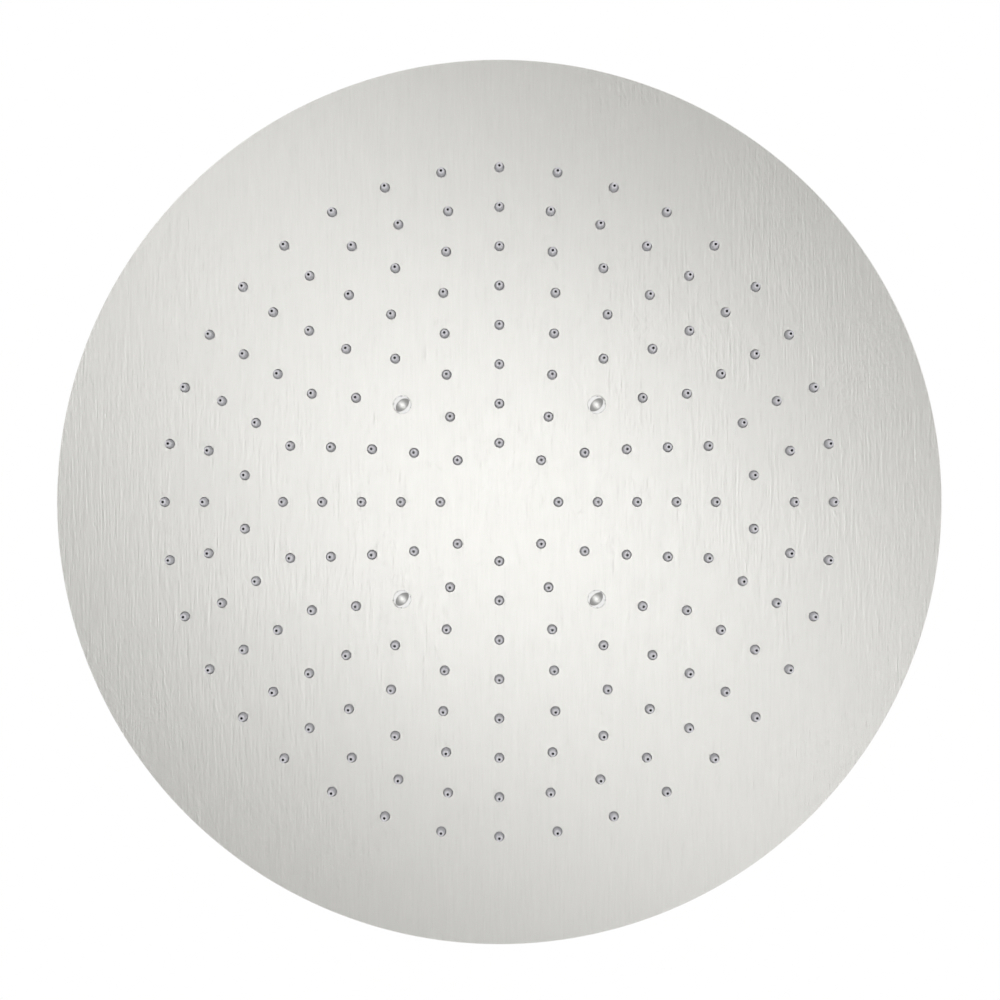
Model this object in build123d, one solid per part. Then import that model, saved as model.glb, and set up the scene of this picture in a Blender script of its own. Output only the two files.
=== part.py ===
from build123d import *
import os

# Round ceiling shower head: a brushed plate hung flat under a ceiling by four domed cap nuts.
# Millimetres, +Z up. The origin is the middle of the ceiling seat, level with the sleeves' upper ends.
# The spray face looks down, towards -Z.

# Face plate
plate_d = 450.0
plate_t = 2.0
plate_edge = 0.4

# Nozzle pattern: rings of evenly spaced places, the first of each ring on +Y.
# The fixings stand on the third ring out.
first_ring_r = 30.0
spray_inset = 55.0
ring_places = (8, 12, 16, 20, 24, 30, 36, 36)
fixing_ring_count = 3
fixing_count = 4

# Silicone mat and its nozzles
mat_t = 2.0
nozzle_foot_d = 4.8
nozzle_tip_d = 3.2
nozzle_rise = 3.2
nozzle_bore_d = 1.3
nozzle_well_d = 2.8
nozzle_clear = 0.1

# Pressed dish that closes the water chamber
dish_t = 1.2
dish_inset = 25.0
dish_bend_r = 1.0
chamber_h = 11.0
plateau_step = 3.0
plateau_run = 3.0
plateau_margin = 28.0
dish_back_rise = 1.5
mat_rim_clear = 0.6
clamp_w = 6.0
wall_run = 4.0

# Rim fastenings: weld studs, washers and nuts
rim_count = 12
rim_stud_d = 4.0
rim_stud_proud = 1.3
rim_washer_d = 9.0
rim_washer_t = 0.8
rim_washer_margin = 1.0
rim_nut_af = 7.0
rim_nut_t = 3.2

# Domed cap nuts
dome_d = 9.5
dome_h = 2.2
dome_lip = 1.25
stem_reach = 5.0
stem_clear = 0.2
cap_thread_d = 4.2
cap_floor = 1.5

# Sleeves for the ceiling pins
pin_hole_d = 5.6
sleeve_wall = 1.3
sleeve_socket_spare = 1.0
sleeve_collar_w = 3.5
sleeve_collar_t = 2.0
sleeve_nut_wall = 2.5
sleeve_nut_t = 4.0
sleeve_proud = 0.8
sleeve_chamfer = 0.5

# Water inlet with a half-inch pipe thread, sized by its minor diameter
inlet_thread_d = 18.63
inlet_thread_len = 12.0
inlet_wall = 3.9
inlet_ledge = 3.7
inlet_collar_w = 5.8
inlet_collar_t = 2.5
inlet_nut_wall = 4.8
inlet_nut_t = 6.0
inlet_chamfer = 0.8

# Filter washer at the foot of the inlet thread
strainer_inset = 0.6
strainer_t = 2.0
strainer_ring_w = 2.2
strainer_screen_t = 0.5
strainer_hole_d = 1.8
strainer_hole_pitch = 2.6
strainer_clear = 0.1

# Flat seals and fits
gasket_t = 1.0
gasket_clear = 0.1
thread_clear = 0.05
sheet_hole_clear = 0.25

# Levels, down from the ceiling seat
dish_back_z = -(sleeve_proud + sleeve_nut_t)
dish_inner_z = dish_back_z - dish_t
collar_top_z = dish_inner_z - gasket_t
mat_rear_z = dish_inner_z - chamber_h
plate_rear_z = mat_rear_z - mat_t
plate_front_z = plate_rear_z - plate_t
nozzle_tip_z = plate_front_z - nozzle_rise
nozzle_h = plate_rear_z - nozzle_tip_z
inlet_low_z = collar_top_z - inlet_collar_t
strainer_z = inlet_low_z + inlet_ledge
inlet_thread_z = strainer_z + strainer_t
inlet_top_z = inlet_thread_z + inlet_thread_len

# Widths that follow from each other
ring_pitch = (plate_d / 2 - spray_inset - first_ring_r) / (len(ring_places) - 1)
fixing_r = first_ring_r + ring_pitch * (fixing_ring_count - 1)
stem_d = dome_d - 2 * dome_lip
fixing_hole_d = stem_d + 2 * stem_clear
sleeve_d = fixing_hole_d + 2 * sleeve_wall
sleeve_collar_d = sleeve_d + 2 * sleeve_collar_w
inlet_barrel_d = inlet_thread_d + 2 * inlet_wall
inlet_collar_d = inlet_barrel_d + 2 * inlet_collar_w
strainer_d = inlet_thread_d - 2 * strainer_inset
inlet_passage_d = strainer_d - 2 * strainer_ring_w

# Steps of the dish, from its edge inwards: flat flange, step over the mat's rim, clamping land, wall
dish_r = plate_d / 2 - dish_inset
rim_stud_r = dish_r - rim_washer_margin - rim_washer_d / 2
step_foot_r = rim_stud_r - rim_washer_d / 2 - rim_washer_margin - dish_bend_r - dish_t
step_top_r = step_foot_r - mat_t
mat_r = step_top_r - mat_rim_clear
wall_foot_r = mat_r - clamp_w
wall_top_r = wall_foot_r - wall_run

# Places shared by several pieces
fixing_places = PolarLocations(fixing_r, fixing_count, start_angle=180 / fixing_count).locations
rim_places = PolarLocations(rim_stud_r, rim_count, start_angle=180 / rim_count).locations


def at_height(z):
    return Location((0, 0, z))


def copies(shape, places):
    return [place * shape for place in places]


def turned(*half_section):
    """A solid turned about Z from the (radius, height) corners of its half section."""
    return revolve(Plane.XZ * make_face(Polyline(*half_section, close=True)), Axis.Z)


def flat_ring(outer_d, inner_d, z, thickness):
    return at_height(z) * extrude(Circle(outer_d / 2) - Circle(inner_d / 2), thickness)


def hex_nut(across_flats, bore_d, z, thickness):
    outline = RegularPolygon(across_flats / 2, 6, major_radius=False)
    return at_height(z) * extrude(outline - Circle(bore_d / 2), thickness)


def far_side(corners, thickness):
    """The corners of a sheet's other side, each moved out along the mitre of the straights that it joins."""
    points = [Vector(*corner) for corner in corners]
    outwards = [(b - a).normalized().rotate(Axis.Z, -90) for a, b in zip(points, points[1:])]
    before = outwards[:1] + outwards
    after = outwards + outwards[-1:]
    return [p + (m + n) * (thickness / (1 + m.dot(n))) for p, m, n in zip(points, before, after)]


def nozzle_places():
    """Every place of the rings, apart from the ones that the fixings take."""
    fixings = [place.position for place in fixing_places]
    places = []
    for ring, count in enumerate(ring_places):
        radius = first_ring_r + ring_pitch * ring
        for place in PolarLocations(radius, count, start_angle=90).locations:
            if all((place.position - fixing).length > dome_d for fixing in fixings):
                places.append(place)
    return places


def make_face_plate(nozzles):
    nozzle_hole = Circle(nozzle_foot_d / 2 + nozzle_clear)
    fixing_hole = Circle(fixing_hole_d / 2)
    outline = Circle(plate_d / 2) - copies(nozzle_hole, nozzles) - copies(fixing_hole, fixing_places)
    plate = at_height(plate_front_z) * extrude(outline, plate_t)
    rim = plate.edges().filter_by(GeomType.CIRCLE).group_by(SortBy.RADIUS)[-1]
    return chamfer(rim, plate_edge)


def make_nozzle_mat(nozzles):
    """One moulding: a sheet behind the plate, and a tapered nozzle through each hole of the plate."""
    outline = Circle(mat_r) - copies(Circle(fixing_hole_d / 2), fixing_places)
    sheet = at_height(plate_rear_z) * extrude(outline, mat_t)
    upwards = (Align.CENTER, Align.CENTER, Align.MIN)
    cone = at_height(nozzle_tip_z) * Cone(nozzle_tip_d / 2, nozzle_foot_d / 2, nozzle_h, align=upwards)
    well = Cone(nozzle_bore_d / 2, nozzle_well_d / 2, nozzle_h + mat_t, align=upwards)
    bores = copies(at_height(nozzle_tip_z) * well, nozzles)
    return sheet + copies(cone, nozzles) - bores


def make_rear_dish():
    """Pressed sheet: rim flange, step over the mat, wall, sloping back and raised middle."""
    plateau_r = fixing_r + plateau_margin
    plateau_foot_z = dish_inner_z - plateau_step
    under_side = [
        (dish_r, plate_rear_z),
        (step_foot_r, plate_rear_z),
        (step_top_r, mat_rear_z),
        (wall_foot_r, mat_rear_z),
        (wall_top_r, plateau_foot_z - dish_back_rise),
        (plateau_r + plateau_run, plateau_foot_z),
        (plateau_r, dish_inner_z),
        (inlet_barrel_d / 2 + sheet_hole_clear, dish_inner_z),
    ]
    tight = dish_bend_r
    wide = dish_bend_r + dish_t
    bend_pairs = (len(under_side) - 2) // 2
    with BuildPart() as dish:
        with BuildSketch(Plane.XZ):
            with BuildLine():
                lower = FilletPolyline(*under_side, radius=[wide, tight] * bend_pairs)
                upper = FilletPolyline(*far_side(under_side, dish_t), radius=[tight, wide] * bend_pairs)
                Line(lower @ 0, upper @ 0)
                Line(lower @ 1, upper @ 1)
            make_face()
        revolve(axis=Axis.Z)
    sleeve_hole = extrude(Circle(sleeve_d / 2 + sheet_hole_clear), dish_t)
    stud_hole = extrude(Circle(rim_stud_d / 2 + sheet_hole_clear), dish_t)
    sleeve_holes = copies(at_height(dish_inner_z) * sleeve_hole, fixing_places)
    stud_holes = copies(at_height(plate_rear_z) * stud_hole, rim_places)
    return dish.part - sleeve_holes - stud_holes


def make_sleeve():
    """Turned sleeve: a collar under the dish, and a wide socket below for the cap nut's stem."""
    outer_r = sleeve_d / 2
    collar_r = sleeve_collar_d / 2
    collar_low_z = collar_top_z - sleeve_collar_t
    socket_r = fixing_hole_d / 2
    socket_top_z = mat_rear_z + stem_reach + sleeve_socket_spare
    return turned(
        (socket_r, mat_rear_z),
        (outer_r, mat_rear_z),
        (outer_r, collar_low_z),
        (collar_r, collar_low_z),
        (collar_r, collar_top_z),
        (outer_r, collar_top_z),
        (outer_r, -sleeve_chamfer),
        (outer_r - sleeve_chamfer, 0),
        (pin_hole_d / 2, 0),
        (pin_hole_d / 2, socket_top_z),
        (socket_r, socket_top_z),
    )


def make_cap_nut():
    """Polished dome on the spray face, with a stem that reaches through the plate into its sleeve."""
    dome_low_z = plate_front_z - dome_h
    dome_sphere_r = (dome_d**2 / 4 + dome_h**2) / (2 * dome_h)
    stem_top_z = mat_rear_z + stem_reach
    thread_low_z = plate_front_z + cap_floor
    with BuildPart() as nut:
        with BuildSketch(Plane.XZ):
            with BuildLine():
                dome = RadiusArc((0, dome_low_z), (dome_d / 2, plate_front_z), -dome_sphere_r)
                Polyline(
                    dome @ 1,
                    (stem_d / 2, plate_front_z),
                    (stem_d / 2, stem_top_z),
                    (cap_thread_d / 2, stem_top_z),
                    (cap_thread_d / 2, thread_low_z),
                    (0, thread_low_z),
                    dome @ 0,
                )
            make_face()
        revolve(axis=Axis.Z)
    return nut.part


def make_inlet_bush():
    """Turned bush: collar below the dish, outer thread for the backnut, pipe thread inside."""
    collar_r = inlet_collar_d / 2
    barrel_r = inlet_barrel_d / 2
    thread_r = inlet_thread_d / 2
    pocket_r = strainer_d / 2 + strainer_clear
    passage_r = inlet_passage_d / 2
    return turned(
        (passage_r, inlet_low_z),
        (collar_r, inlet_low_z),
        (collar_r, collar_top_z),
        (barrel_r, collar_top_z),
        (barrel_r, inlet_top_z - inlet_chamfer),
        (barrel_r - inlet_chamfer, inlet_top_z),
        (thread_r, inlet_top_z),
        (thread_r, inlet_thread_z),
        (pocket_r, inlet_thread_z),
        (pocket_r, strainer_z),
        (passage_r, strainer_z),
    )


def make_inlet_strainer():
    """Filter washer: a soft ring with a perforated screen across its lower side."""
    ring = flat_ring(strainer_d, inlet_passage_d, strainer_z, strainer_t)
    rows = int(inlet_passage_d / strainer_hole_pitch)
    grid = HexLocations(strainer_hole_pitch / 2, rows, rows).locations
    reach = inlet_passage_d / 2 - strainer_hole_d
    holes = [place for place in grid if place.position.length < reach]
    screen = Circle(inlet_passage_d / 2) - copies(Circle(strainer_hole_d / 2), holes)
    return ring + at_height(strainer_z) * extrude(screen, strainer_screen_t)


def make_rim_stud():
    height = dish_t + rim_washer_t + rim_nut_t + rim_stud_proud
    return at_height(plate_rear_z) * extrude(Circle(rim_stud_d / 2), height)


def save(name, shape):
    export_step(shape, f"parts/{name}.step")


def save_group(name, shape, places):
    save(name, Compound(copies(shape, places)))


def main():
    os.makedirs("parts", exist_ok=True)
    nozzles = nozzle_places()
    save("face_plate", make_face_plate(nozzles))
    save("nozzle_mat", make_nozzle_mat(nozzles))
    save("rear_dish", make_rear_dish())

    sleeve = make_sleeve()
    sleeve_gasket = flat_ring(sleeve_collar_d, sleeve_d + 2 * gasket_clear, collar_top_z, gasket_t)
    for number, place in enumerate(fixing_places, start=1):
        save(f"sleeve_{number}", place * sleeve)
        save(f"sleeve_gasket_{number}", place * sleeve_gasket)
    sleeve_nut_af = sleeve_d + 2 * sleeve_nut_wall
    sleeve_nut = hex_nut(sleeve_nut_af, sleeve_d + 2 * thread_clear, dish_back_z, sleeve_nut_t)
    save_group("sleeve_nuts", sleeve_nut, fixing_places)
    save_group("cap_nuts", make_cap_nut(), fixing_places)

    inlet_nut_af = inlet_barrel_d + 2 * inlet_nut_wall
    save("inlet_bush", make_inlet_bush())
    save("inlet_gasket", flat_ring(inlet_collar_d, inlet_barrel_d + 2 * gasket_clear, collar_top_z, gasket_t))
    save("inlet_nut", hex_nut(inlet_nut_af, inlet_barrel_d + 2 * thread_clear, dish_back_z, inlet_nut_t))
    save("inlet_strainer", make_inlet_strainer())

    washer_z = plate_rear_z + dish_t
    stud_bore_d = rim_stud_d + 2 * thread_clear
    save_group("rim_studs", make_rim_stud(), rim_places)
    save_group("rim_washers", flat_ring(rim_washer_d, stud_bore_d, washer_z, rim_washer_t), rim_places)
    save_group("rim_nuts", hex_nut(rim_nut_af, stud_bore_d, washer_z + rim_washer_t, rim_nut_t), rim_places)


main()
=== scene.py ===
import bmesh
import bpy
import math
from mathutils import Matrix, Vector


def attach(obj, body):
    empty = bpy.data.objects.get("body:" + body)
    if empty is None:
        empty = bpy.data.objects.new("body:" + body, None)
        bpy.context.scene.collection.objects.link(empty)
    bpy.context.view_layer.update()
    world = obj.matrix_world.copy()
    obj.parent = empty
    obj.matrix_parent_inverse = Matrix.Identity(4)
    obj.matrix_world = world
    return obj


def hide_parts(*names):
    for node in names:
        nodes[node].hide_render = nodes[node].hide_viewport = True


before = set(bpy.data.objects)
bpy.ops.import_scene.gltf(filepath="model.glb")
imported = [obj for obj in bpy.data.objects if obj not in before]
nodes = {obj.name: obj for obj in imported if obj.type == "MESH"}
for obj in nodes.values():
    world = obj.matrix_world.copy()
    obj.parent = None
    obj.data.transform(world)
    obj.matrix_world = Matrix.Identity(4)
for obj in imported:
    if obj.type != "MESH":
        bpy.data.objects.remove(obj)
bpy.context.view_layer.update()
MM = 0.001

# Plate, mat and nozzles, in millimetres
PLATE_R = 224.93
PLATE_FRONT = -21.0
PLATE_REAR = -19.0
PLATE_EDGE = 0.4
HOLE_R = 2.5
HOLE_ROUND = 0.05
RINGS = ((30, 8), (50, 12), (70, 16), (90, 20), (110, 24), (130, 30), (150, 36), (170, 36))
MAT_R = 184.2
MAT_REAR = -17.0
NOZZLE_TIP = -24.2
NOZZLE_FOOT_R = 2.4
NOZZLE_TIP_R = 1.6
NOZZLE_TIP_ROUND = 0.35
NOZZLE_BORE_R = 0.65
NOZZLE_LIP_ROUND = 0.05
NOZZLE_WELL_R = 1.4

# Cap nuts and the sleeves' nuts behind them
FIXING_R = 70.0
FIXING_FIRST = 45
FIXING_COUNT = 4
FIXING_HOLE_R = 3.7
DOME_R = 4.75
DOME_H = 2.2
STEM_R = 3.5
STEM_TOP = -12.0
STEM_BEVEL = 0.3
CAP_THREAD_R = 2.1
CAP_THREAD_LOW = -19.5
DISH_BACK = -4.8
SLEEVE_NUT = dict(across=15.0, bore_r=5.05, low=DISH_BACK, high=-0.8)

# Fastenings at the rim
RIM_R = 194.5
RIM_FIRST = 15
RIM_COUNT = 12
STUD_R = 2.0
STUD_TOP = -12.5
STUD_BEVEL = 0.3
STUD_PITCH = 0.7
STUD_DEPTH = 0.42
RIM_NUT = dict(across=7.0, bore_r=2.05, low=-17.0, high=-13.8)

# Water inlet
INLET_LOW = -9.5
INLET_TOP = 8.2
INLET_CHAMFER = 0.8
COLLAR_R = 19.015
COLLAR_TOP = -7.0
COLLAR_BEVEL = 0.4
BARREL_R = 13.215
BARREL_PITCH = 1.5
BARREL_DEPTH = 0.75
PIPE_LOW = -3.8
PIPE_MINOR_R = 9.315
PIPE_MAJOR_R = 10.4775
PIPE_PITCH = 1.814
POCKET_LOW = -5.8
POCKET_R = 8.815
PASSAGE_R = 6.515
INLET_NUT = dict(across=36.03, bore_r=13.265, low=DISH_BACK, high=1.2)

# Shares of a nut's width and bore, and the angle of its chamfer
NUT_FACE_SHARE = 0.48
NUT_SINK_SHARE = 0.08
NUT_CHAMFER = math.radians(30)
NUT_SIDE = math.radians(60)

# Segments around a full turn
PLATE_AROUND = 360
MAT_AROUND = 240
HOLE_AROUND = 32
NOZZLE_AROUND = 36
STEM_AROUND = 48
DOME_AROUND = 96
DOME_ROWS = 25
STUD_AROUND = 24
INLET_AROUND = 96
NUT_AROUND = 48
WELD = 1e-7
FLAT = 1e-9

# Camera, floor and lamps, in metres and watts
CAMERA_DROP = 0.494
CAMERA_SHIFT = (0.00064, 0.00198)
CAMERA_LENS = 35
CAMERA_SENSOR = 36
FLOOR_Z = PLATE_FRONT * MM - 1.5
FLOOR_HALF = (1.75, 14.0)
FLOOR_TURN = math.radians(45)
FLOOR_SHOWN = 0.38
WORLD_LEVEL = 0.37
WORLD_MIRRORED = (1.0, 0.45)
POOL_Z = FLOOR_Z + 0.88
POOL_SIZE = 0.3
POOLS = (("pool", 0.0, 6.9), ("pool_left", 0.66, 3.2), ("pool_right", -0.66, 3.2))
FILL_Z = FLOOR_Z + 1.0
FILL_SIZE = 1.2
FILL_POWER = 1.6
TOP_PLACES = (("top_left", (0.9, 0.9, 1.3)), ("top_right", (-0.9, -0.9, 1.3)))
TOP_SIZE = 1.25
TOP_POWER = 1.75


def round_points(radius, first, count):
    points = []
    for k in range(count):
        a = math.radians(first + 360 * k / count)
        points.append((radius * math.cos(a), radius * math.sin(a)))
    return points


def nozzle_points(fixings):
    """All the nozzles of the rings, less those whose place a cap nut takes."""
    points = []
    for radius, count in RINGS:
        for p in round_points(radius, 90, count):
            if all(math.dist(p, f) > 2 * DOME_R for f in fixings):
                points.append(p)
    return points


def arc(centre, radius, start, end, steps):
    """Points of an arc in the (radius, z) plane, angles in degrees."""
    points = []
    for k in range(steps + 1):
        a = math.radians(start + (end - start) * k / steps)
        points.append((centre[0] + radius * math.cos(a), centre[1] + radius * math.sin(a)))
    return points


def vertex(bm, centre, radius, angle, z):
    x = centre[0] + radius * math.cos(angle)
    y = centre[1] + radius * math.sin(angle)
    return bm.verts.new((x * MM, y * MM, z * MM))


def circle(bm, centre, radius, z, segments, start=0.0):
    step = 2 * math.pi / segments
    return [vertex(bm, centre, radius, start + k * step, z) for k in range(segments)]


def bridge(bm, a, b):
    n = len(a)
    for k in range(n):
        face = bm.faces.new((a[k], a[(k + 1) % n], b[(k + 1) % n], b[k]))
        face.smooth = True


def lathe(bm, centre, profile, segments):
    """Rings at each (radius, z) of the profile, joined in turn. Returns the first and last ring."""
    rings = [circle(bm, centre, r, z, segments) for r, z in profile]
    for a, b in zip(rings, rings[1:]):
        bridge(bm, a, b)
    return rings[0], rings[-1]


def thread(bm, centre, crest_r, root_r, pitch, low, high, segments, steps=8):
    """A rounded helical thread that runs out at both ends into the plain cylinder of its crest."""
    turns = math.ceil((high - low) / pitch) + 1
    rows = []
    for i in range((turns + 1) * steps + 1):
        wave = 0.5 - 0.5 * math.cos(2 * math.pi * i / steps)
        row = []
        for k in range(segments):
            z = low + (i / steps - 1 + k / segments) * pitch
            z = min(max(z, low), high)
            run_out = min(1, (z - low) / pitch, (high - z) / pitch)
            radius = crest_r + (root_r - crest_r) * run_out * wave
            row.append(vertex(bm, centre, radius, 2 * math.pi * k / segments, z))
        rows.append(row)
    for i in range(turns * steps):
        # After one turn a row meets the start of the row one pitch higher
        here = rows[i] + [rows[i + steps][0]]
        above = rows[i + 1] + [rows[i + 1 + steps][0]]
        for k in range(segments):
            corners = (here[k], above[k], above[k + 1], here[k + 1])
            heights = [v.co.z for v in corners]
            if max(heights) - min(heights) > FLAT:
                bm.faces.new(corners).smooth = True


def hex_nut(bm, centre, across, bore_r, low, high, turn, samples):
    """Six-sided nut with its corners taken off by a cone at both ends, and a countersunk bore."""
    face_r = NUT_FACE_SHARE * across
    sink = NUT_SINK_SHARE * bore_r
    lower, upper = [], []
    for k in range(samples):
        a = 2 * math.pi * k / samples
        r = across / 2 / math.cos(a % NUT_SIDE - NUT_SIDE / 2)
        dip = (r - face_r) * math.tan(NUT_CHAMFER)
        lower.append(vertex(bm, centre, r, turn + a, low + dip))
        upper.append(vertex(bm, centre, r, turn + a, high - dip))
    bottom = circle(bm, centre, face_r, low, samples, turn)
    bottom_sink = circle(bm, centre, bore_r + sink, low, samples, turn)
    bore_low = circle(bm, centre, bore_r, low + sink, samples, turn)
    bore_high = circle(bm, centre, bore_r, high - sink, samples, turn)
    top_sink = circle(bm, centre, bore_r + sink, high, samples, turn)
    top = circle(bm, centre, face_r, high, samples, turn)
    loops = [bottom_sink, bottom, lower, upper, top, top_sink, bore_high, bore_low, bottom_sink]
    for a, b in zip(loops, loops[1:]):
        bridge(bm, a, b)


def fill(bm, loops):
    """A flat face between the outer loop and the holes in it."""
    edges = []
    for loop in loops:
        n = len(loop)
        for k in range(n):
            pair = (loop[k], loop[(k + 1) % n])
            edges.append(bm.edges.get(pair) or bm.edges.new(pair))
    made = bmesh.ops.triangle_fill(bm, use_beauty=True, use_dissolve=False, edges=edges)
    for face in made["geom"]:
        if isinstance(face, bmesh.types.BMFace):
            face.smooth = False


def finish_piece(bm, name, material, node, sharp_angle=30):
    """Turns the mesh into the piece that stands for a CAD node."""
    bmesh.ops.recalc_face_normals(bm, faces=bm.faces)
    mesh = bpy.data.meshes.new(name)
    bm.to_mesh(mesh)
    rounded = [face.smooth for face in bm.faces]
    bm.free()
    # Marking the sharp edges smooths every face, so the flat ones are flagged again
    mesh.set_sharp_from_angle(angle=math.radians(sharp_angle))
    mesh.polygons.foreach_set("use_smooth", rounded)
    mesh.materials.append(material)
    piece = bpy.data.objects.new(name, mesh)
    bpy.context.scene.collection.objects.link(piece)
    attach(piece, "root")
    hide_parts(node)


class Nodes:
    """Short calls for building a material's node tree."""

    def __init__(self, name, **values):
        self.material = bpy.data.materials.new(name)
        self.material.use_nodes = True
        self.tree = self.material.node_tree
        self.shader = self.tree.nodes["Principled BSDF"]
        for socket, value in values.items():
            self.shader.inputs[socket.replace("_", " ")].default_value = value

    def add(self, kind, **settings):
        node = self.tree.nodes.new("ShaderNode" + kind)
        for key, value in settings.items():
            setattr(node, key, value)
        return node

    def link(self, a, b):
        self.tree.links.new(a, b)

    def place(self, *scale):
        """The object's own coordinates in metres, times the scale of each axis."""
        mapping = self.add("Mapping")
        mapping.inputs["Scale"].default_value = scale
        self.link(self.add("TexCoord").outputs["Object"], mapping.inputs["Vector"])
        return mapping.outputs["Vector"]

    def noise(self, vector, detail=3.0, roughness=0.5):
        node = self.add("TexNoise")
        node.inputs["Scale"].default_value = 1.0
        node.inputs["Detail"].default_value = detail
        node.inputs["Roughness"].default_value = roughness
        self.link(vector, node.inputs["Vector"])
        return node.outputs["Fac"]

    def span(self, value, low, high, from_low=0.3, from_high=0.7):
        node = self.add("MapRange")
        node.inputs["From Min"].default_value = from_low
        node.inputs["From Max"].default_value = from_high
        node.inputs["To Min"].default_value = low
        node.inputs["To Max"].default_value = high
        self.link(value, node.inputs["Value"])
        return node.outputs["Result"]

    def ramp(self, value, dark, light):
        """Colours from dark to light over the middle of a noise's range."""
        node = self.add("ValToRGB")
        for element, position, colour in zip(node.color_ramp.elements, (0.3, 0.7), (dark, light)):
            element.position = position
            element.color = (*colour, 1)
        self.link(value, node.inputs["Fac"])
        return node.outputs["Color"]

    def average(self, a, b, share):
        node = self.add("Mix", data_type="FLOAT")
        node.inputs[0].default_value = share
        self.link(a, node.inputs[2])
        self.link(b, node.inputs[3])
        return node.outputs[0]

    def fade(self, value, share):
        """The value where share is 1, and a half where it is 0."""
        node = self.add("Mix", data_type="FLOAT")
        self.link(share, node.inputs[0])
        node.inputs[2].default_value = 0.5
        self.link(value, node.inputs[3])
        return node.outputs[0]

    def tint(self, colour, towards, share):
        node = self.add("Mix", data_type="RGBA")
        self.link(share, node.inputs[0])
        self.link(colour, node.inputs[6])
        node.inputs[7].default_value = (*towards, 1)
        return node.outputs[2]

    def bump(self, height, strength, distance):
        node = self.add("Bump")
        node.inputs["Strength"].default_value = strength
        node.inputs["Distance"].default_value = distance
        self.link(height, node.inputs["Height"])
        self.link(node.outputs["Normal"], self.shader.inputs["Normal"])

    def to(self, value, socket):
        self.link(value, self.shader.inputs[socket])


def brushed_face():
    """Steel brushed along Y: fine lines, broken here and there, with wider lanes between them."""
    m = Nodes("brushed_face", Metallic=1.0, Anisotropic=0.5)
    lines = m.noise(m.place(1250, 60, 60), detail=1.0)
    breaks = m.noise(m.place(800, 330, 330), detail=1.0)
    fine = m.fade(lines, m.span(breaks, 0.0, 1.0, from_low=0.4, from_high=0.6))
    lanes = m.noise(m.place(500, 30, 60), detail=2.0)
    streaks = m.average(fine, lanes, 0.2)
    m.to(m.ramp(streaks, (0.845, 0.837, 0.814), (0.915, 0.906, 0.881)), "Base Color")
    m.to(m.span(streaks, 0.26, 0.22), "Roughness")
    across = m.add("CombineXYZ")
    across.inputs["X"].default_value = 1.0
    m.to(across.outputs["Vector"], "Tangent")
    m.bump(fine, strength=1.0, distance=0.0002)
    return m.material


def polished_dome():
    m = Nodes("polished_dome", Metallic=1.0)
    smear = m.noise(m.place(700, 700, 700), detail=4.0)
    m.to(m.ramp(smear, (0.84, 0.84, 0.83), (0.89, 0.89, 0.88)), "Base Color")
    m.to(m.span(smear, 0.03, 0.07), "Roughness")
    return m.material


def silicone():
    """Pale at the nozzles' tips; painted shade makes them greyer down their flanks and dark inside their
    bores.
    """
    m = Nodes("silicone")
    cloud = m.noise(m.place(900, 900, 900), detail=3.0)
    grain = m.noise(m.place(6000, 6000, 6000), detail=2.0)
    soft = m.ramp(cloud, (0.66, 0.65, 0.69), (0.74, 0.73, 0.77))
    # Painted shade: the flanks are tinted greyer from the tip down to the plate's front, where the plate's
    # hole shades them
    height = m.add("SeparateXYZ")
    m.link(m.place(1, 1, 1), height.inputs["Vector"])
    down = m.span(height.outputs["Z"], 0.0, 0.35, (NOZZLE_TIP + 0.3) * MM, PLATE_FRONT * MM)
    painted_shade_flank = m.tint(soft, (0.36, 0.36, 0.38), down)
    # Painted shade: the bores' faces are tinted near black, standing for the shade inside the narrow holes
    bore = m.add("Attribute", attribute_name="bore")
    m.to(m.tint(painted_shade_flank, (0.02, 0.02, 0.022), bore.outputs["Fac"]), "Base Color")
    m.to(m.span(cloud, 0.42, 0.55), "Roughness")
    m.bump(grain, strength=0.15, distance=0.00003)
    return m.material


def pressed_steel():
    m = Nodes("pressed_steel", Metallic=1.0)
    rolled = m.noise(m.place(40, 1800, 1800), detail=4.0, roughness=0.6)
    cloud = m.noise(m.place(35, 35, 35), detail=3.0)
    satin = m.average(rolled, cloud, 0.4)
    m.to(m.ramp(satin, (0.58, 0.58, 0.57), (0.68, 0.68, 0.665)), "Base Color")
    m.to(m.span(cloud, 0.30, 0.42), "Roughness")
    m.bump(rolled, strength=0.2, distance=0.00003)
    return m.material


def turned(name, dark, light, smooth, rough):
    m = Nodes(name, Metallic=1.0)
    rings = m.noise(m.place(900, 900, 9000), detail=2.0)
    stain = m.noise(m.place(220, 220, 220), detail=3.0)
    m.to(m.ramp(m.average(rings, stain, 0.5), dark, light), "Base Color")
    m.to(m.span(stain, smooth, rough), "Roughness")
    m.bump(rings, strength=0.2, distance=0.00003)
    return m.material


def seal():
    m = Nodes("seal")
    grain = m.noise(m.place(4000, 4000, 4000), detail=3.0)
    dust = m.noise(m.place(300, 300, 300), detail=4.0)
    m.to(m.ramp(dust, (0.022, 0.022, 0.024), (0.045, 0.045, 0.047)), "Base Color")
    m.to(m.span(dust, 0.50, 0.68), "Roughness")
    m.bump(grain, strength=0.3, distance=0.00004)
    return m.material


def pale_floor():
    m = Nodes("pale_floor", Roughness=0.9, Emission_Color=(1, 1, 1, 1))
    cloud = m.noise(m.place(3, 3, 3), detail=3.0)
    m.to(m.ramp(cloud, (0.81, 0.81, 0.80), (0.83, 0.83, 0.82)), "Base Color")
    seen = m.add("Math", operation="MULTIPLY")
    m.link(m.add("LightPath").outputs["Is Camera Ray"], seen.inputs[0])
    seen.inputs[1].default_value = FLOOR_SHOWN
    m.to(seen.outputs[0], "Emission Strength")
    return m.material


def drill(bm, places, profile, segments, fronts, rears):
    """The same turned wall at each place. Its end loops join those of the front and rear faces."""
    for p in places:
        front, rear = lathe(bm, p, profile, segments)
        fronts.append(front)
        rears.append(rear)


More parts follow.
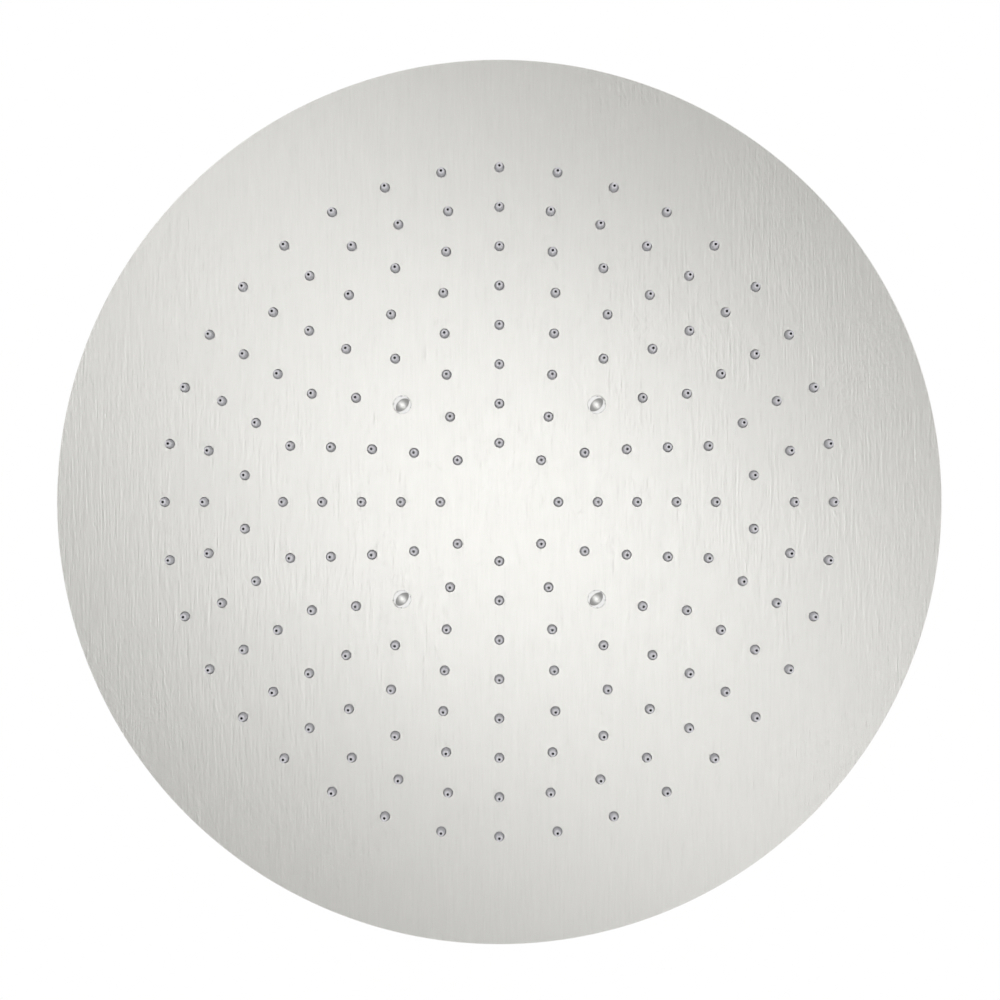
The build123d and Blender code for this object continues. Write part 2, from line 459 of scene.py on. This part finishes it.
def build_face_plate(material, nozzles, fixings):
    bm = bmesh.new()
    rim = (
        (PLATE_R - PLATE_EDGE, PLATE_FRONT), (PLATE_R, PLATE_FRONT + PLATE_EDGE),
        (PLATE_R, PLATE_REAR - PLATE_EDGE), (PLATE_R - PLATE_EDGE, PLATE_REAR),
    )
    hole = arc((HOLE_R + HOLE_ROUND, PLATE_FRONT + HOLE_ROUND), HOLE_ROUND, 270, 180, 3)
    hole.append((HOLE_R, PLATE_REAR))
    fixing_hole = ((FIXING_HOLE_R, PLATE_FRONT), (FIXING_HOLE_R, PLATE_REAR))
    fronts, rears = [], []
    drill(bm, [(0, 0)], rim, PLATE_AROUND, fronts, rears)
    drill(bm, nozzles, hole, HOLE_AROUND, fronts, rears)
    drill(bm, fixings, fixing_hole, STEM_AROUND, fronts, rears)
    fill(bm, fronts)
    fill(bm, rears)
    finish_piece(bm, "spray_plate", material, "face_plate")


def build_nozzle_mat(material, nozzles, fixings):
    bm = bmesh.new()
    slope = (NOZZLE_FOOT_R - NOZZLE_TIP_R) / (PLATE_REAR - NOZZLE_TIP)
    front_r = NOZZLE_FOOT_R - slope * (PLATE_REAR - PLATE_FRONT)
    shoulder_r = NOZZLE_TIP_R + (slope - 1) * NOZZLE_TIP_ROUND
    nozzle = [(NOZZLE_FOOT_R, PLATE_REAR), (front_r, PLATE_FRONT)]
    nozzle += arc((shoulder_r, NOZZLE_TIP + NOZZLE_TIP_ROUND), NOZZLE_TIP_ROUND, 0, -90, 4)
    lip = (NOZZLE_BORE_R + NOZZLE_LIP_ROUND, NOZZLE_TIP + NOZZLE_LIP_ROUND)
    nozzle += arc(lip, NOZZLE_LIP_ROUND, 270, 180, 2)
    nozzle.append((NOZZLE_WELL_R, MAT_REAR))
    fronts, rears = [], []
    drill(bm, [(0, 0)], ((MAT_R, PLATE_REAR), (MAT_R, MAT_REAR)), MAT_AROUND, fronts, rears)
    drill(bm, nozzles, nozzle, NOZZLE_AROUND, fronts, rears)
    # Marks the bores' faces for the silicone's painted shade, which tints them near black
    bore = bm.faces.layers.float.new("bore")
    for loop in rears[1:]:
        for inner in loop:
            for face in inner.link_faces:
                face[bore] = 1.0
    fixing_hole = ((FIXING_HOLE_R, PLATE_REAR), (FIXING_HOLE_R, MAT_REAR))
    drill(bm, fixings, fixing_hole, STEM_AROUND, fronts, rears)
    fill(bm, fronts)
    fill(bm, rears)
    finish_piece(bm, "soft_nozzles", material, "nozzle_mat", sharp_angle=40)


def build_cap_nuts(material, fixings):
    bm = bmesh.new()
    sphere_r = (DOME_R**2 + DOME_H**2) / (2 * DOME_H)
    centre_z = PLATE_FRONT - DOME_H + sphere_r
    half_angle = math.degrees(math.asin(DOME_R / sphere_r))
    dome = arc((0, centre_z), sphere_r, half_angle - 90, -90, DOME_ROWS)[:-1]
    dome.insert(0, (STEM_R, PLATE_FRONT))
    stem = (
        (STEM_R, PLATE_FRONT), (STEM_R, STEM_TOP - STEM_BEVEL), (STEM_R - STEM_BEVEL, STEM_TOP),
        (CAP_THREAD_R, STEM_TOP), (CAP_THREAD_R, CAP_THREAD_LOW),
    )
    for p in fixings:
        last = lathe(bm, p, dome, DOME_AROUND)[1]
        pole = bm.verts.new((p[0] * MM, p[1] * MM, (PLATE_FRONT - DOME_H) * MM))
        for k in range(DOME_AROUND):
            bm.faces.new((last[k], last[(k + 1) % DOME_AROUND], pole)).smooth = True
        bm.faces.new(lathe(bm, p, stem, STEM_AROUND)[1])
    finish_piece(bm, "domed_cap_nuts", material, "cap_nuts")


def build_nuts(name, material, node, places, sizes, samples=NUT_AROUND):
    """Nuts at the given places, each with a corner pointing away from the middle."""
    bm = bmesh.new()
    for p in places:
        hex_nut(bm, p, turn=math.atan2(p[1], p[0]), samples=samples, **sizes)
    finish_piece(bm, name, material, node)


def build_rim_studs(material, places):
    bm = bmesh.new()
    low, high = RIM_NUT["low"], STUD_TOP - STUD_BEVEL
    foot = ((STUD_R, PLATE_REAR), (STUD_R, low))
    end = ((STUD_R, high), (STUD_R - STUD_BEVEL, STUD_TOP))
    for p in places:
        bm.faces.new(lathe(bm, p, foot, STUD_AROUND)[0])
        thread(bm, p, STUD_R, STUD_R - STUD_DEPTH, STUD_PITCH, low, high, STUD_AROUND)
        bm.faces.new(lathe(bm, p, end, STUD_AROUND)[1])
    bmesh.ops.remove_doubles(bm, verts=bm.verts, dist=WELD)
    finish_piece(bm, "threaded_rim_studs", material, "rim_studs", sharp_angle=50)


def build_inlet_bush(material):
    bm = bmesh.new()
    middle, around = (0, 0), INLET_AROUND
    barrel_top = INLET_TOP - INLET_CHAMFER
    pipe_top = INLET_TOP - (PIPE_MAJOR_R - PIPE_MINOR_R)
    outside = (
        (PASSAGE_R, POCKET_LOW), (PASSAGE_R, INLET_LOW),
        (COLLAR_R - COLLAR_BEVEL, INLET_LOW), (COLLAR_R, INLET_LOW + COLLAR_BEVEL), (COLLAR_R, COLLAR_TOP),
        (BARREL_R, COLLAR_TOP), (BARREL_R, DISH_BACK),
    )
    mouth = (
        (BARREL_R, barrel_top), (BARREL_R - INLET_CHAMFER, INLET_TOP),
        (PIPE_MAJOR_R, INLET_TOP), (PIPE_MINOR_R, pipe_top),
    )
    pocket = (
        (PIPE_MINOR_R, PIPE_LOW), (POCKET_R, PIPE_LOW), (POCKET_R, POCKET_LOW), (PASSAGE_R, POCKET_LOW),
    )
    lathe(bm, middle, outside, around)
    thread(bm, middle, BARREL_R, BARREL_R - BARREL_DEPTH, BARREL_PITCH, DISH_BACK, barrel_top, around)
    lathe(bm, middle, mouth, around)
    thread(bm, middle, PIPE_MINOR_R, PIPE_MAJOR_R, PIPE_PITCH, PIPE_LOW, pipe_top, around)
    lathe(bm, middle, pocket, around)
    bmesh.ops.remove_doubles(bm, verts=bm.verts, dist=WELD)
    finish_piece(bm, "threaded_inlet", material, "inlet_bush", sharp_angle=50)


def build_floor(scene):
    x, y = FLOOR_HALF
    mesh = bpy.data.meshes.new("floor")
    mesh.from_pydata([(-x, -y, 0), (x, -y, 0), (x, y, 0), (-x, y, 0)], [], [(0, 1, 2, 3)])
    mesh.materials.append(pale_floor())
    floor = bpy.data.objects.new("floor", mesh)
    floor.location = (0, 0, FLOOR_Z)
    floor.rotation_euler = (0, 0, FLOOR_TURN)
    scene.collection.objects.link(floor)


def build_world(scene):
    """Even light on the object, a paler surround that darkens overhead in mirrors, white behind."""
    world = bpy.data.worlds.new("studio")
    scene.world = world
    world.use_nodes = True
    world.cycles.sampling_method = "NONE"
    tree = world.node_tree
    make, link = tree.nodes.new, tree.links.new
    path = make("ShaderNodeLightPath")
    direction = make("ShaderNodeSeparateXYZ")
    link(make("ShaderNodeTexCoord").outputs["Generated"], direction.inputs["Vector"])
    overhead = make("ShaderNodeMapRange")
    overhead.inputs["From Min"].default_value = 0.15
    overhead.inputs["To Min"].default_value = WORLD_MIRRORED[0]
    overhead.inputs["To Max"].default_value = WORLD_MIRRORED[1]
    link(direction.outputs["Z"], overhead.inputs["Value"])
    mirrored = make("ShaderNodeMath")
    mirrored.operation = "MAXIMUM"
    link(path.outputs["Is Glossy Ray"], mirrored.inputs[0])
    link(path.outputs["Is Transmission Ray"], mirrored.inputs[1])
    lit = make("ShaderNodeMix")
    lit.inputs[2].default_value = WORLD_LEVEL
    link(mirrored.outputs[0], lit.inputs[0])
    link(overhead.outputs["Result"], lit.inputs[3])
    shown = make("ShaderNodeMix")
    shown.inputs[3].default_value = 1.0
    link(path.outputs["Is Camera Ray"], shown.inputs[0])
    link(lit.outputs[0], shown.inputs[2])
    link(shown.outputs[0], tree.nodes["Background"].inputs["Color"])


def area_light(scene, name, place, aim, size, power):
    data = bpy.data.lights.new(name, "AREA")
    data.shape = "DISK"
    data.size = size
    data.energy = power
    lamp = bpy.data.objects.new(name, data)
    lamp.location = place
    lamp.rotation_euler = (Vector(aim) - Vector(place)).to_track_quat("-Z", "Y").to_euler()
    lamp.visible_camera = False
    scene.collection.objects.link(lamp)
    return lamp


def build_lamps(scene):
    """Pools of light on the floor for the plate to mirror, a soft fill, and two lamps for the back."""
    for name, side, power in POOLS:
        area_light(scene, name, (side, side, POOL_Z), (side, side, FLOOR_Z), POOL_SIZE, power)
    fill_light = area_light(scene, "fill", (0, 0, FILL_Z), (0, 0, 0), FILL_SIZE, FILL_POWER)
    fill_light.visible_glossy = False
    for name, place in TOP_PLACES:
        area_light(scene, name, place, (0, 0, 0), TOP_SIZE, TOP_POWER)


def build_camera(scene):
    data = bpy.data.cameras.new("camera")
    data.lens = CAMERA_LENS
    data.sensor_width = CAMERA_SENSOR
    data.shift_x, data.shift_y = CAMERA_SHIFT
    camera = bpy.data.objects.new("camera", data)
    camera.location = (0, 0, PLATE_FRONT * MM - CAMERA_DROP)
    camera.rotation_euler = (0, math.pi, 0)
    scene.collection.objects.link(camera)
    scene.camera = camera


steel = pressed_steel()
rubber = seal()
brass = turned("brass", (0.60, 0.44, 0.22), (0.74, 0.58, 0.32), 0.2, 0.34)
turned_steel = turned("turned_steel", (0.60, 0.60, 0.59), (0.70, 0.70, 0.69), 0.2, 0.34)
fastener = turned("fastener", (0.64, 0.64, 0.63), (0.74, 0.74, 0.73), 0.16, 0.3)

# CAD pieces that keep their own shape
finishes = {
    "rear_dish": steel,
    "inlet_gasket": rubber,
    "inlet_strainer": rubber,
    "rim_washers": fastener,
}
for number in range(1, FIXING_COUNT + 1):
    finishes[f"sleeve_{number}"] = turned_steel
    finishes[f"sleeve_gasket_{number}"] = rubber
for node, material in finishes.items():
    nodes[node].data.materials[0] = material

# Pieces with finer shapes than the CAD ones they stand for
fixings = round_points(FIXING_R, FIXING_FIRST, FIXING_COUNT)
nozzles = nozzle_points(fixings)
rims = round_points(RIM_R, RIM_FIRST, RIM_COUNT)
build_face_plate(brushed_face(), nozzles, fixings)
build_nozzle_mat(silicone(), nozzles, fixings)
build_cap_nuts(polished_dome(), fixings)
build_rim_studs(fastener, rims)
build_nuts("rim_hex_nuts", fastener, "rim_nuts", rims, RIM_NUT)
build_nuts("sleeve_hex_nuts", fastener, "sleeve_nuts", fixings, SLEEVE_NUT)
build_inlet_bush(brass)
build_nuts("inlet_backnut", brass, "inlet_nut", [(0, 0)], INLET_NUT, samples=INLET_AROUND)

scene = bpy.context.scene
scene.view_settings.view_transform = "Standard"
build_floor(scene)
build_world(scene)
build_lamps(scene)
build_camera(scene)
